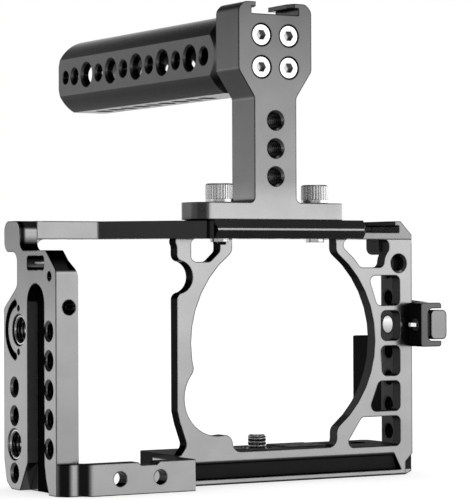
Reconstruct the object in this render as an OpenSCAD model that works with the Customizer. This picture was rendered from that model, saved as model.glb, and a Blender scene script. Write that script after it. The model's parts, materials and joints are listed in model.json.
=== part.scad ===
// Camera cage with a top handle and a cable clamp.
// Origin: axis of the camera screw, at the seat plane. +Z up, the lens side faces -Y.

/* [Cage] */
// Distance from the lens axis to the outer face of the left plate
left_x = 91.5; // [88:0.1:95]
// Distance from the lens axis to the outer face of the right plate
right_x = 53; // [52:0.1:56]
// Depth of the cage, from the left plate's front edge to its back edge
cage_depth = 39.1; // [38.5:0.1:42]
// Distance from the front edge of the cage back to the camera screw
screw_setback = 26.7; // [26:0.1:27.5]
// Height of the camera seat above the bottom of the cage
seat_height = 10.9; // [10.5:0.1:12]
// Height of the lens axis above the seat
lens_z = 37.15; // [36.5:0.05:38]
// Inner height, from the seat to the underside of the top plate
inner_height = 72.4; // [71.5:0.1:75]
// Thickness of the top plate and its rail
top_thick = 6.4; // [6:0.1:7.2]
// Pitch of the accessory holes
hole_pitch = 9.525; // [9.3:0.005:9.7]
// Height of the lowest full row of holes above the seat
hole_row_z = 4.1; // [3.5:0.1:4.8]

/* [Lens plate] */
// Radius of the lens opening
lens_r = 37.15; // [36.5:0.05:37.6]
// Width of the rim round the lens opening, beside the top windows
rim_w = 3.2; // [2.8:0.1:3.8]
// Thickness of the lens plate
lens_plate_thick = 4.5; // [4:0.1:5]
// Distance from the front edge of the cage back to the lens plate's face
lens_setback = 7.65; // [7.2:0.05:8.2]
// Half width of the straight neck of the opening
neck_half_w = 21; // [19:0.1:22.5]
// Distance from the lens axis to the outer edge of the left arm
arm_x = 42; // [41.7:0.1:43.5]
// Pitch of the windows in the right arm
window_pitch = 12.4; // [12.1:0.1:12.6]
// Height of a window
window_h = 10.5; // [9.6:0.1:10.9]

/* [Side plates] */
// Thickness of the left plate
left_thick = 8.1; // [7.6:0.1:9]
// Thickness of the left plate above its shoulder
left_top_thick = 6.4; // [5.6:0.1:7]
// Thickness of the right plate
right_thick = 4.7; // [4.2:0.1:5]
// Depth of the right plate behind the lens plate's face
right_depth = 12.45; // [12:0.05:13.5]
// Width of the long groove in the left plate
groove_w = 12.8; // [11:0.1:13]
// Depth of the long groove
groove_depth = 3.8; // [2.8:0.1:4.2]

/* [Grip bar] */
// How far the bar stands in front of the cage
bar_reach = 6.6; // [6:0.1:8]
// Height of the bar
bar_h = 10.4; // [9.6:0.1:10.5]
// Thickness of the bar, front to back
bar_thick = 5.2; // [4.6:0.1:5.8]

/* [Top plate] */
// Width of the rail across its two V edges
rail_w = 21.2; // [20.6:0.1:21.8]
// How far the rail's nose stands in front of the cage
rail_reach = 2.35; // [1.8:0.05:2.8]
// Depth of the V bevels of the rail
bevel = 2.4; // [2:0.1:2.7]
// Width of the bar along the back of the top
back_bar_w = 12.4; // [11.6:0.1:12.8]
// Width of a shoe channel
shoe_w = 18.7; // [18.4:0.1:19]
// Opening between the lips of a shoe
shoe_gap = 12.8; // [12.4:0.1:13.4]
// Thickness of a shoe's lips
shoe_lip = 1.6; // [1.3:0.1:1.8]
// Height of a shoe channel under its lips
shoe_slot_h = 2.4; // [2.1:0.1:2.5]

/* [Handle] */
// Height of the handle above the top plate
handle_h = 73.8; // [70:0.5:80]
// Depth of the bracket, front to back
bracket_depth = 15; // [14.5:0.1:15.6]
// Length of the flange
flange_len = 59.8; // [56:0.1:61]
// Thickness of the flange
flange_thick = 5.8; // [5:0.1:6.6]
// Width of the post
post_w = 16.6; // [15.6:0.1:18]
// Width of the head that carries the grip
head_w = 29; // [28.4:0.1:31]
// Distance from the lens axis to the axis of the post
post_x = 8.2; // [7.6:0.1:8.8]
// Distance from the lens axis to the middle of the two handle screws
screws_x = 7.6; // [7.2:0.1:8.4]
// Length of the grip
grip_len = 123.9; // [121:0.1:130]
// Diameter of the grip
grip_d = 29.5; // [28.6:0.1:31]
// Width across the flats of the grip
grip_flats = 26; // [25.4:0.1:27.4]
// Diameter of the bore in the grip
grip_bore_d = 20; // [18:0.1:21]
// Pitch of the holes along the grip
grip_pitch = 9.9; // [9.7:0.05:10]

/* [Clamp] */
// Height of the clamp's body
clamp_h = 15.5; // [14.6:0.1:16.5]
// Thickness of the clamp's walls at its mouth
clamp_wall = 2; // [1.8:0.1:2.3]
// Width of the clamp's body outside the cage
clamp_w = 7.3; // [6.8:0.1:8]
// Gap between the closed jaw's pad and the clamp's body
jaw_gap = 0.3; // [0.2:0.05:0.8]
// Travel of the jaw
jaw_travel = 3.5; // [3:0.1:3.6]

/* [Fasteners] */
// Diameter of a quarter inch screw
quarter_d = 6.35; // [6.3:0.01:6.4]
// Diameter of a hole tapped for a quarter inch screw
quarter_tap_d = 5.2; // [5.1:0.05:5.3]
// Diameter of a hole tapped for a three eighths screw
eighths_tap_d = 8; // [7.9:0.05:8.1]
// Height of the camera screw's thread above the seat
screw_stand = 4.3; // [4:0.1:5.5]
// Diameter of the heads of the handle screws
handle_head_d = 9.5; // [9.2:0.1:9.8]
// Height of the heads of the handle screws
handle_head_h = 6.35; // [6:0.05:6.8]
// Diameter of the heads of the grip screws
grip_head_d = 7; // [6.6:0.1:7.2]
// Pitch of the four grip screws
grip_screw_pitch = 10.9; // [10.6:0.1:11.2]

/* [Hidden] */

$fn = 96;
cut = 0.5;
coat = "#3b3c3e";
steel = "#cfd0d2";
rubber = "#1b1b1c";

// Planes that the plates share
front_y = -screw_setback;
back_y = front_y + cage_depth;
bottom_z = -seat_height;
pad_rise = 0.4;
base_z = -pad_rise;
under_z = inner_height;
top_z = under_z + top_thick;
lens_y = front_y + lens_setback;
lens_back_y = lens_y + lens_plate_thick;
right_in_x = right_x - right_thick;
right_back_y = lens_y + right_depth;
left_in_x = left_thick - left_x;
left_top_x = left_top_thick - left_x;

// Holes
chamfer = 0.85;
small_chamfer = 0.45;
run_gap = 0.05;
seat_gap = 0.03;
free_gap = 0.2;
edge_fn = 40;
quarter_r = quarter_d / 2;
tap_r = quarter_tap_d / 2;
big_tap_r = eighths_tap_d / 2;
insert_wall = 0.9;
insert_r = big_tap_r + insert_wall;

function row_z(k) = hole_row_z + k * hole_pitch;
top_row = 6;
clamp_row = 4;
locate_row = 4;

// A flat shape drawn in X and Z, from y0 to y1
module front_slab(y0, y1)
    translate([0, y1, 0]) rotate([90, 0, 0]) linear_extrude(y1 - y0) children();

// A flat shape drawn in Y and Z, from x0 to x1
module side_slab(x0, x1)
    translate([x0, 0, 0]) rotate([90, 0, 90]) linear_extrude(x1 - x0) children();

// A flat shape drawn in X and Y, from z0 to z1
module plan_slab(z0, z1)
    translate([0, 0, z0]) linear_extrude(z1 - z0) children();

// Rounds the outer corners of a flat shape
module round_out(r) offset(r = r, $fn = edge_fn) offset(delta = -r) children();

// Rounds the inner corners of a flat shape
module fill_in(r) offset(r = -r, $fn = edge_fn) offset(r = r, $fn = edge_fn) children();

// Rounds all corners of a flat shape
module soften(r) offset(r = r, $fn = edge_fn) offset(r = -2 * r, $fn = edge_fn)
    offset(r = r, $fn = edge_fn) children();

// A rectangle between two corners
module block2(a, b) translate(a) square(b - a);

// Cutters for round holes along each axis, chamfered at both mouths
module mouth_hole(r, len, rim) {
    translate([0, 0, -cut]) cylinder(r = r, h = len + 2 * cut);
    for (m = [0, 1])
        translate([0, 0, m * len]) mirror([0, 0, m])
            rotate_extrude() polygon([[0, -cut], [r + rim + cut, -cut], [r, rim], [0, rim]]);
}
module hole_x(x0, x1, y, z, r, rim = chamfer)
    translate([x0, y, z]) rotate([90, 0, 90]) mouth_hole(r, x1 - x0, rim);
module hole_y(y0, y1, x, z, r, rim = chamfer)
    translate([x, y1, z]) rotate([90, 0, 0]) mouth_hole(r, y1 - y0, rim);
module hole_z(z0, z1, x, y, r, rim = chamfer)
    translate([x, y, z0]) mouth_hole(r, z1 - z0, rim);

// Left side plate
front_col_in = 5.2;
left_front_col_y = front_y + front_col_in;
back_col_in = 8;
left_back_col_y = back_y - back_col_in;
locate_in = 11.7;
locate_y = back_y - locate_in;
small_hole_r = 1.55;
small_hole_in = 4.6;
small_hole_y = front_y + small_hole_in;
shoulder_drop = 1.2;
shoulder_z = row_z(top_row) - shoulder_drop;
shoulder_rise = 5;
side_top_drop = 3.9;
side_top_z = under_z - side_top_drop;
bulb_lap = 0.4;
bulb_back_in = 0.5;
bulb_front_y = back_y - back_bar_w;
bulb_back_y = back_y - bulb_back_in;
bulb_base_z = side_top_z - bulb_lap;
bar_drop = 0.4;
bulb_top_z = top_z - bar_drop;
neck_in = 10.3;
neck_y = back_y - neck_in;
groove_in = 17.9;
groove_y1 = back_y - groove_in;
groove_y0 = groove_y1 - groove_w;
notch_row = 5;
notch_drop = 2.6;
notch_rise = 4.9;
groove_rise = 5.9;
groove_top_z = row_z(notch_row) + groove_rise;
strap_drop = 4.1;
strap_z = side_top_z - strap_drop;
strap_soft = 1.1;
strap_h = 4.6;
strap_pin_r = 0.45;
strap_pin_seat = 2.5;
front_slope_h = 6.5;
front_slope_w = 7.4;
funnel_h = 9.5;
rear_funnel_w = 6.2;
front_funnel_w = 3.4;
rear_toe_w = 5.6;
rear_toe_h = 9.6;
toe_step = 2.4;
edge_soft = 2.2;
bulb_soft = 3.4;
shoulder_soft = 2.2;
pillar_hole_r = 2.4;
pillar_hole_in = 4.8;
pillar_hole_x = pillar_hole_in - left_x;
pillar_hole_drop = 1.8;
pillar_hole_z = row_z(notch_row) - pillar_hole_drop;
pillar_hole_depth = 7;

module left_outline() {
    fill_in(bulb_soft) {
        round_out(edge_soft) polygon([
            [front_y, bottom_z], [back_y - rear_toe_w, bottom_z],
            [back_y - rear_toe_w / 3, bottom_z + toe_step], [back_y, bottom_z + rear_toe_h],
            [back_y, row_z(notch_row) - notch_drop], [neck_y, row_z(notch_row) + notch_rise],
            [neck_y, side_top_z],
            [front_y + front_slope_w, side_top_z], [front_y, side_top_z - front_slope_h]]);
        // Raised end that carries the back bar, and its neck
        round_out(bulb_soft) block2([bulb_front_y, bulb_base_z], [bulb_back_y, bulb_top_z]);
        block2([bulb_front_y, side_top_z - bulb_soft], [neck_y, bulb_base_z + bulb_soft]);
    }
    // Square corner behind the grip bar
    block2([front_y, bottom_z], [front_y + 2 * edge_soft, bottom_z + 2 * edge_soft]);
}

module side_plate_left() color(coat) difference() {
    intersection() {
        side_slab(-left_x, left_in_x) left_outline();
        front_slab(front_y - cut, back_y + cut) soften(shoulder_soft) polygon([
            [-left_x - left_thick, bottom_z - left_thick], [left_in_x, bottom_z - left_thick],
            [left_in_x, shoulder_z], [left_top_x, shoulder_z + shoulder_rise],
            [left_top_x, top_z + left_thick], [-left_x - left_thick, top_z + left_thick]]);
    }
    // Long groove, which widens at the bottom
    side_slab(-left_x - cut, groove_depth - left_x) {
        block2([groove_y0, bottom_z], [groove_y1, groove_top_z - groove_w / 2]);
        translate([groove_y0 + groove_w / 2, groove_top_z - groove_w / 2]) circle(d = groove_w);
        polygon([
            [groove_y0, bottom_z + funnel_h], [groove_y0 - front_funnel_w / 3, bottom_z + funnel_h / 2],
            [groove_y0 - front_funnel_w, bottom_z - cut], [groove_y1 + rear_funnel_w, bottom_z - cut],
            [groove_y1, bottom_z + funnel_h]]);
    }
    // Strap slot, with the seats of its pin
    side_slab(-left_x - cut, left_in_x + cut)
        round_out(strap_soft) block2([groove_y0, strap_z - strap_h / 2], [groove_y1, strap_z + strap_h / 2]);
    strap_pin_shape(seat_gap);
    for (k = [0 : 4])
        hole_x(-left_x, left_in_x, left_front_col_y, row_z(k), tap_r);
    for (k = [-1, 1, 2])
        hole_x(-left_x, left_in_x, left_back_col_y, row_z(k), tap_r);
    // Seats of the two large inserts
    hole_x(-left_x, left_in_x, left_back_col_y, row_z(0), insert_r + seat_gap, small_chamfer);
    hole_x(-left_x, left_in_x, locate_y, row_z(locate_row), insert_r + seat_gap, small_chamfer);
    locating_groove();
    translate([-left_x - cut, small_hole_y, shoulder_z]) rotate([90, 0, 90])
        cylinder(r = small_hole_r, h = left_thick + 2 * cut);
    translate([pillar_hole_x, front_y + pillar_hole_depth, pillar_hole_z]) rotate([90, 0, 0])
        cylinder(r = pillar_hole_r, h = pillar_hole_depth + cut);
}

// Arc groove and pin holes round the locating hole
arc_r0 = 8.2;
arc_r1 = 10.5;
arc_depth = 1.4;
arc_half_angle = 75;
pin_hole_r = 0.95;
pin_hole_depth = 4;
outer_pin_angle = 74;
inner_pin_angle = 87;
module locating_groove()
    translate([-left_x - cut, locate_y, row_z(locate_row)]) rotate([90, 0, 90]) {
        linear_extrude(arc_depth + cut) intersection() {
            difference() {
                circle(arc_r1);
                circle(arc_r0);
            }
            polygon([[0, 0], 2 * arc_r1 * [cos(arc_half_angle), sin(arc_half_angle)],
                     [2 * arc_r1, 0], 2 * arc_r1 * [cos(arc_half_angle), -sin(arc_half_angle)]]);
        }
        for (s = [-1, 1]) {
            translate((arc_r0 + pin_hole_r) * [cos(outer_pin_angle), s * sin(outer_pin_angle)])
                cylinder(r = pin_hole_r, h = pin_hole_depth);
            translate((arc_r0 - pin_hole_r) * [cos(inner_pin_angle), s * sin(inner_pin_angle)])
                cylinder(r = pin_hole_r, h = pin_hole_depth);
        }
    }

// Grip bar across the lower left front
bar_y0 = front_y - bar_reach;
bar_y1 = bar_y0 + bar_thick;
bar_top_z = bottom_z + bar_h;
bar_lap = 1.1;
bar_end_x = -arm_x - bar_lap;
bar_step_w = 2.3;
bar_ledge_w = 4.9;
bar_ledge_y = front_y - bar_reach * 0.53;
bar_hole_r = 2.3;
bar_hole_shares = [0.5, 0.2];
bar_span = left_x - arm_x;
bar_notch_depth = 1;
bar_notch_w = 7.9;
bar_notch_x = -left_x + bar_span * 0.535;
leg_w = 7.9;
leg_reach = 1.5;
leg_back_y = lens_back_y + leg_reach;
leg_lap = 3;
leg_step = 1;
leg_in = 0.6;
bar_lip = 0.4;
bar_root = 1.2;
bar_soft = 1.3;
leg_slope = 4;

module bar_plan() soften(bar_soft) polygon([
    [-left_x, front_y + bar_thick], [-left_x, front_y - bar_lip], [-left_x + bar_step_w, bar_ledge_y],
    [-left_x + bar_step_w + bar_ledge_w, bar_ledge_y],
    [-left_x + 2 * bar_step_w + bar_ledge_w, bar_y0], [bar_end_x, bar_y0],
    [bar_end_x, lens_y - leg_step], [leg_lap - arm_x, lens_y + leg_in], [leg_lap - arm_x, leg_back_y],
    [bar_end_x - leg_w / 2, leg_back_y], [bar_end_x - leg_w, leg_back_y - leg_slope],
    [bar_end_x - leg_w, bar_y1], [left_in_x + bar_root, bar_y1], [left_in_x, front_y],
    [left_in_x, front_y + bar_thick]]);

module grip_bar() color(coat) difference() {
    plan_slab(bottom_z, bar_top_z) difference() {
        bar_plan();
        block2([-left_x - cut, front_y], [left_in_x + cut, back_y]);
        block2([-arm_x, bar_y1], [0, back_y]);
    }
    for (s = bar_hole_shares) {
        x = -left_x + bar_span * (1 - s) - bar_span * 0.1;
        hole_y(bar_y0, bar_y1, x, (bottom_z + bar_top_z) / 2, bar_hole_r, run_gap * 4);
    }
    front_slab(bar_y0 - cut, bar_y1 + cut)
        translate([bar_notch_x, bar_top_z - bar_notch_depth])
            polygon([[bar_notch_depth, 0], [bar_notch_w - bar_notch_depth, 0],
                     [bar_notch_w + cut, bar_notch_depth + cut], [-cut, bar_notch_depth + cut]]);
}

// Lens plate, with its opening, arms and windows
function shares_to_points(shares, w, h) = [for (s = shares) [s[0] * w, s[1] * h]];
arm_outline_shares = [[-1.065, 1.02], [-1.01, 0.965], [-1.01, 0.2], [-0.985, 0.14], [-0.925, 0.04],
                      [-1.03, -0.04]];
arm_notch_shares = [-1, 0.822];
arm_notch_r = 5.5;
scallop_shares = [-0.721, 0.503, 0.349];
window_left_shares = [[0.65, 0.85], [0.93, 1.045], [1.085, 1.066], [1.074, 1.074], [1.03, 0.93]];
window_in = 0.5;
window_drop = 0.1;
window_right = right_in_x - window_in;
window_base_z = base_z - window_drop;
window_soft = 2;
top_hole_in = 5.6;
top_hole_drop = 8.5;
top_hole_x = right_x - top_hole_in;
top_hole_z = under_z - top_hole_drop;
top_window_sill = 1.4;
top_window_in = 5;
left_window_x0 = 5 - arm_x;
left_window_x1 = -neck_half_w - rim_w - 1.6;
left_window_z0 = top_hole_z + 0.7;
left_window_cut_w = 3.9;
left_window_cut_h = 3.5;
opening_soft = 3.2;
arm_soft = 2.4;
top_hole_wall = 3.6;
front_groove_drop = 3.5;
front_groove_lift = 1.9;
front_groove_z1 = base_z - front_groove_drop;
front_groove_z0 = bottom_z + front_groove_lift;
front_groove_depth = 3;
groove_lip_h = 1.1;
groove_lip_r = 0.35;
groove_end_in = 7.5;
groove_end_x = right_x - groove_end_in;
groove_end_slope = 2.9;
corner_cut = 3;
corner_depth = 0.8;
corner_lift = 0.5;
corner_slope = 2.5;
corner_bevel_h = 1.1;
corner_bevel_w = 2.6;
foot_chamfer = 0.5;

module opening_outline() soften(opening_soft) {
    translate([0, lens_z]) circle(lens_r);
    block2([-neck_half_w, 0], [neck_half_w, under_z + 2 * top_thick]);
    translate(lens_r * [scallop_shares[0], scallop_shares[1]]) circle(lens_r * scallop_shares[2]);
}

module windows() {
    for (k = [0 : 4]) {
        z0 = window_base_z + k * window_pitch;
        round_out(window_soft) polygon([
            [lens_r * window_left_shares[k][0], z0], [window_right, z0],
            [window_right, z0 + window_h], [lens_r * window_left_shares[k][1], z0 + window_h]]);
    }
    // Top windows on both sides of the neck
    round_out(window_soft) difference() {
        block2([neck_half_w + rim_w, top_hole_z - top_window_sill], [right_in_x - top_window_in, under_z]);
        translate([0, lens_z]) circle(lens_r + rim_w);
        translate([top_hole_x, top_hole_z]) circle(tap_r + top_hole_wall);
    }
    round_out(window_soft) polygon([
        [left_window_x0, left_window_z0], [left_window_x1 - left_window_cut_w, left_window_z0],
        [left_window_x1, left_window_z0 + left_window_cut_h], [left_window_x1, under_z],
        [left_window_x0, under_z]]);
}

module lens_outline() difference() {
    union() {
        intersection() {
            soften(arm_soft) difference() {
                polygon(concat(
                    [[right_x + arm_x, 1.02 * under_z]],
                    shares_to_points(arm_outline_shares, arm_x, under_z),
                    [[-arm_x * 1.03, 2 * bottom_z], [right_x + arm_x, 2 * bottom_z]]));
                translate([arm_notch_shares[0] * arm_x, arm_notch_shares[1] * under_z]) circle(arm_notch_r);
            }
            block2([-left_x, base_z], [right_x, under_z]);
        }
        block2([-arm_x, bottom_z], [right_x, base_z]);
    }
    opening_outline();
    windows();
}

module front_groove_profile() polygon([
    [lens_y - cut, front_groove_z1 + groove_lip_h], [lens_y, front_groove_z1 + groove_lip_h],
    [lens_y + groove_lip_r, front_groove_z1 + groove_lip_r], [lens_y + groove_lip_h, front_groove_z1],
    [lens_y + front_groove_depth, front_groove_z0], [lens_y - cut, front_groove_z0]]);

module lens_plate() color(coat) difference() {
    front_slab(lens_y, lens_back_y) lens_outline();
    hole_y(lens_y, lens_back_y, top_hole_x, top_hole_z, tap_r);
    // Groove along the foot, with a slanted end
    intersection() {
        side_slab(-arm_x - cut, right_x) front_groove_profile();
        front_slab(lens_y - 2 * cut, lens_back_y) polygon([
            [-arm_x - 2 * cut, front_groove_z1 + 2 * groove_lip_h],
            [groove_end_x - groove_lip_h, front_groove_z1 + 2 * groove_lip_h],
            [groove_end_x, front_groove_z1], [groove_end_x + groove_end_slope, front_groove_z0 - cut],
            [-arm_x - 2 * cut, front_groove_z0 - cut]]);
    }
    front_slab(lens_y - cut, lens_y + corner_depth) polygon([
        [right_x + cut, front_groove_z1 + cut + corner_lift], [right_x + cut, bottom_z - cut],
        [right_x - corner_cut, bottom_z - cut], [right_x - corner_cut, front_groove_z1 - corner_slope]]);
    // Bevels along the bottom edge and at the right corner
    side_slab(-arm_x - cut, right_x + cut)
        polygon([[lens_y - cut, bottom_z - cut], [lens_y + foot_chamfer + cut, bottom_z - cut],
                 [lens_y - cut, bottom_z + foot_chamfer + cut]]);
    right_corner_bevel(lens_y - cut, lens_back_y + cut);
    // Room for the tips of the handle screws
    for (s = [-1, 1])
        translate([-screws_x + 2 * s * hole_pitch, handle_y, under_z - handle_screw_tip - 3 * free_gap])
            cylinder(r = quarter_r + free_gap, h = handle_screw_tip + cut + 3 * free_gap);
}

module right_corner_bevel(y0, y1)
    front_slab(y0, y1) polygon([
        [right_x + cut, bottom_z - cut], [right_x + cut, bottom_z + corner_bevel_h + cut / 2],
        [right_x, bottom_z + corner_bevel_h], [right_x - corner_bevel_w, bottom_z],
        [right_x - corner_bevel_w - cut, bottom_z - cut]]);

// Base plate under the camera
counterbore_r = 7.6;
counterbore_depth = 5.6;
clip_recess_r = 5;
clip_recess_depth = 1.3;
pad_len = 16;
pad_w = 16;
pad_gap = 8;
pad_pocket = 1;
pad_soft = 1.5;
base_back_in = 1.9;
base_back_y = back_y - base_back_in;
base_soft = 3;
base_hole_x = 29.5;
big_base_hole_x = 40;
module base_plate() color(coat) difference() {
    plan_slab(bottom_z, base_z) difference() {
        block2([-arm_x, lens_back_y], [right_x, base_back_y]);
        // Rounded back corners
        for (c = [[-arm_x, 1], [right_x, -1]])
            translate([c[0] + c[1] * base_soft, base_back_y - base_soft]) difference() {
                translate([c[1] > 0 ? -base_soft - cut : 0, 0]) square(base_soft + cut);
                circle(base_soft);
            }
    }
    right_corner_bevel(lens_back_y - cut, base_back_y + cut);
    translate([0, 0, bottom_z - cut]) cylinder(r = quarter_r + run_gap, h = seat_height + 2 * cut);
    translate([0, 0, bottom_z - cut]) cylinder(r = counterbore_r, h = counterbore_depth + cut);
    translate([0, 0, base_z - clip_recess_depth]) cylinder(r = clip_recess_r, h = clip_recess_depth + cut);
    for (m = [0, 1]) mirror([m, 0, 0])
        plan_slab(base_z - pad_pocket, base_z + cut) round_out(pad_soft)
            block2([pad_gap, -pad_len / 2], [pad_gap + pad_w, pad_len / 2]);
    for (s = [-1, 1]) hole_z(bottom_z, base_z, s * base_hole_x, 0, tap_r);
    hole_z(bottom_z, base_z, big_base_hole_x, 0, big_tap_r);
}

// Right side plate with its rear wing
wing_drop = 3;
wing_rise = 5.1;
wing_z0 = row_z(1) - wing_drop;
wing_z1 = row_z(3) + wing_rise;
wing_thick = right_thick;
wing_bevel = 0.6;
wing_soft = 1.8;
right_col_in = 4.1;
right_col_y = right_back_y - right_col_in;
gusset_w = 6.3;
gusset_x = right_in_x - gusset_w;
gusset_h = 5.4;
gusset_soft = 2.4;
module side_plate_right() color(coat) difference() {
    union() {
        side_slab(right_in_x, right_x) block2([lens_back_y, base_z], [right_back_y, under_z]);
        side_slab(right_x - wing_thick, right_x) round_out(wing_soft)
            block2([lens_back_y, wing_z0], [back_y, wing_z1]);
        // Gusset under the top plate
        front_slab(lens_back_y, right_back_y) difference() {
            round_out(gusset_soft)
                block2([gusset_x, under_z - gusset_h], [right_in_x + cut, under_z + 2 * gusset_soft]);
            block2([gusset_x - cut, under_z], [right_x, under_z + 3 * gusset_soft]);
        }
    }
    for (k = [0 : top_row]) if (k != clamp_row)
        hole_x(right_in_x, right_x, right_col_y, row_z(k), tap_r, small_chamfer);
    hole_x(right_in_x, right_x, right_col_y, row_z(clamp_row), quarter_r + seat_gap, small_chamfer / 2);
    // Bevel on the wing's inner back edge
    plan_slab(wing_z0 - cut, wing_z1 + cut)
        polygon([[right_x - wing_thick - cut, back_y - wing_bevel - cut],
                 [right_x - wing_thick - cut, back_y + cut],
                 [right_x - wing_thick + wing_bevel + cut, back_y + cut]]);
}

// Top plate: back bar, slanted part, rail and shoe
rail_y0 = front_y - rail_reach;
rail_y1 = rail_y0 + rail_w;
rail_x0 = -32.5;
rail_x1 = 27.3;
rail_end_slope = 2.4;
nose_h = 0.8;
nose_rise = 3.5;
nose_z = under_z + nose_rise;
bar_z1 = top_z - bar_drop;
bar_front_y = back_y - back_bar_w;
slant_x0 = -62;
slant_x1 = -35.6;
slant_reach = 0.6;
slant_y = rail_y0 - slant_reach;
slant_toe = 0.4;
slant_heel = 2;
bar_overlap = 5;
top_bar_soft = 1.6;
rail_corner = 1;
rail_lap = 2;
slant_w = 9.4;
shoe_in = 5.4;
shoe_x1 = right_x - shoe_in;
shoe_x = shoe_x1 - shoe_w / 2;
shoe_len = 19;
shoe_y1 = lens_y + shoe_len;
shoe_stop = 1.5;
shoe_lead = 3;
top_bevel_w = 4.7;
top_bevel_h = 4.8;
underbar_r = 3.5;
underbar_in = 1;
underbar_back_in = 3;
handle_in = 6.4;
handle_y = front_y + handle_in;
rail_holes = 6;
bar_holes = 2;
bar_first_hole = 8;

module rail_profile() polygon([
    [rail_y0, nose_z], [rail_y0, nose_z - nose_h], [rail_y0 + bevel, under_z],
    [rail_y1 - bevel, under_z], [rail_y1, nose_z - nose_h], [rail_y1, nose_z],
    [rail_y1 - bevel, top_z], [rail_y0 + bevel, top_z]]);

module top_bar_plan() soften(top_bar_soft) polygon([
    [left_top_x - bar_overlap, bar_front_y], [slant_x0, bar_front_y], [slant_x1, slant_y],
    [rail_x0 - bevel / 2, slant_y + slant_toe], [rail_x0 + bevel, rail_y1 - bevel],
    [slant_x1 + slant_heel, rail_y1 - bevel], [slant_x0 + slant_w, back_y],
    [left_top_x - bar_overlap, back_y]]);

// T-shaped channel of a shoe, centred on x, from y0 to y1
module shoe_channel(x, y0, y1, roof_z) {
    floor_z = roof_z - shoe_lip - shoe_slot_h;
    front_slab(y0 - cut, y1) {
        block2([x - shoe_w / 2, floor_z], [x + shoe_w / 2, floor_z + shoe_slot_h]);
        block2([x - shoe_gap / 2, floor_z], [x + shoe_gap / 2, roof_z + cut]);
    }
    // Lead-in of the lips
    plan_slab(floor_z, roof_z + cut) polygon([
        [x - shoe_gap / 2 - shoe_lead / 2, y0 - cut], [x + shoe_gap / 2 + shoe_lead / 2, y0 - cut],
        [x + shoe_gap / 2, y0 + shoe_lead], [x - shoe_gap / 2, y0 + shoe_lead]]);
}

module top_plate() color(coat) difference() {
    union() {
        plan_slab(under_z, bar_z1) difference() {
            top_bar_plan();
            block2([-2 * left_x, rail_y0 - cut], [left_top_x, back_y + cut]);
        }
        // Rail with its bevelled ends
        intersection() {
            side_slab(rail_x0 - rail_lap, rail_x1) rail_profile();
            plan_slab(0, 2 * top_z) polygon([
                [rail_x0 - rail_lap, rail_y0 + rail_end_slope + rail_corner], [rail_x0, rail_y0],
                [rail_x1 - rail_corner, rail_y0], [rail_x1, rail_y0 + rail_corner], [rail_x1, rail_y1],
                [rail_x0 - rail_lap, rail_y1]]);
        }
        // Block of the shoe at the right
        front_slab(lens_y, shoe_y1) polygon([
            [rail_x1 - rail_lap, under_z], [right_x, under_z], [right_x, top_z - top_bevel_h],
            [right_x - top_bevel_w, top_z], [rail_x1 - rail_lap, top_z]]);
        // Fillet under the back bar, against the left plate
        front_slab(bulb_front_y + underbar_in, bulb_back_y - underbar_back_in) difference() {
            block2([left_top_x, under_z - underbar_r], [left_top_x + underbar_r, under_z]);
            translate([left_top_x + underbar_r, under_z - underbar_r]) circle(underbar_r);
        }
    }
    shoe_channel(shoe_x, lens_y, shoe_y1 - shoe_stop, top_z);
    for (k = [-2 : rail_holes - 3])
        hole_z(under_z, top_z, -screws_x + k * hole_pitch, handle_y,
               abs(k) == 2 ? quarter_r + run_gap : tap_r, small_chamfer);
    for (k = [0 : bar_holes - 1])
        hole_z(under_z, bar_z1, left_top_x + bar_first_hole + k * hole_pitch,
               back_y - back_bar_w / 2, tap_r, small_chamfer);
}

// Threaded inserts of the left plate
insert_inset = 0.5;
module insert(y, z) color(steel)
    translate([-left_x + insert_inset, y, z]) rotate([90, 0, 90]) difference() {
        cylinder(r = insert_r, h = left_thick - 2 * insert_inset);
        mouth_hole(big_tap_r, left_thick - 2 * insert_inset, small_chamfer);
    }
module locating_insert() insert(locate_y, row_z(locate_row));
module lower_insert() insert(left_back_col_y, row_z(0));

// Pin across the strap slot
module strap_pin_shape(gap)
    translate([-left_x + left_top_thick / 2, groove_y1 + strap_pin_seat, strap_z]) rotate([90, 0, 0])
        cylinder(r = strap_pin_r + gap, h = groove_w + 2 * strap_pin_seat);
module strap_pin() color(steel) strap_pin_shape(0);

// Rubber pads beside the camera screw, with grooves across
rib_count = 7;
rib_slot_w = 0.7;
rib_slot_depth = 0.5;
pad_clear = 0.1;
module seat_pad(m) color(rubber) mirror([m, 0, 0]) difference() {
    plan_slab(base_z - pad_pocket, 0) round_out(pad_soft - pad_clear)
        block2([pad_gap + pad_clear, -pad_len / 2 + pad_clear],
               [pad_gap + pad_w - pad_clear, pad_len / 2 - pad_clear]);
    for (k = [1 : rib_count])
        translate([pad_gap, -pad_len / 2 + k * pad_len / (rib_count + 1) - rib_slot_w / 2, -rib_slot_depth])
            cube([pad_w, rib_slot_w, 2 * rib_slot_depth]);
}
module seat_pad_left() seat_pad(1);
module seat_pad_right() seat_pad(0);

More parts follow.
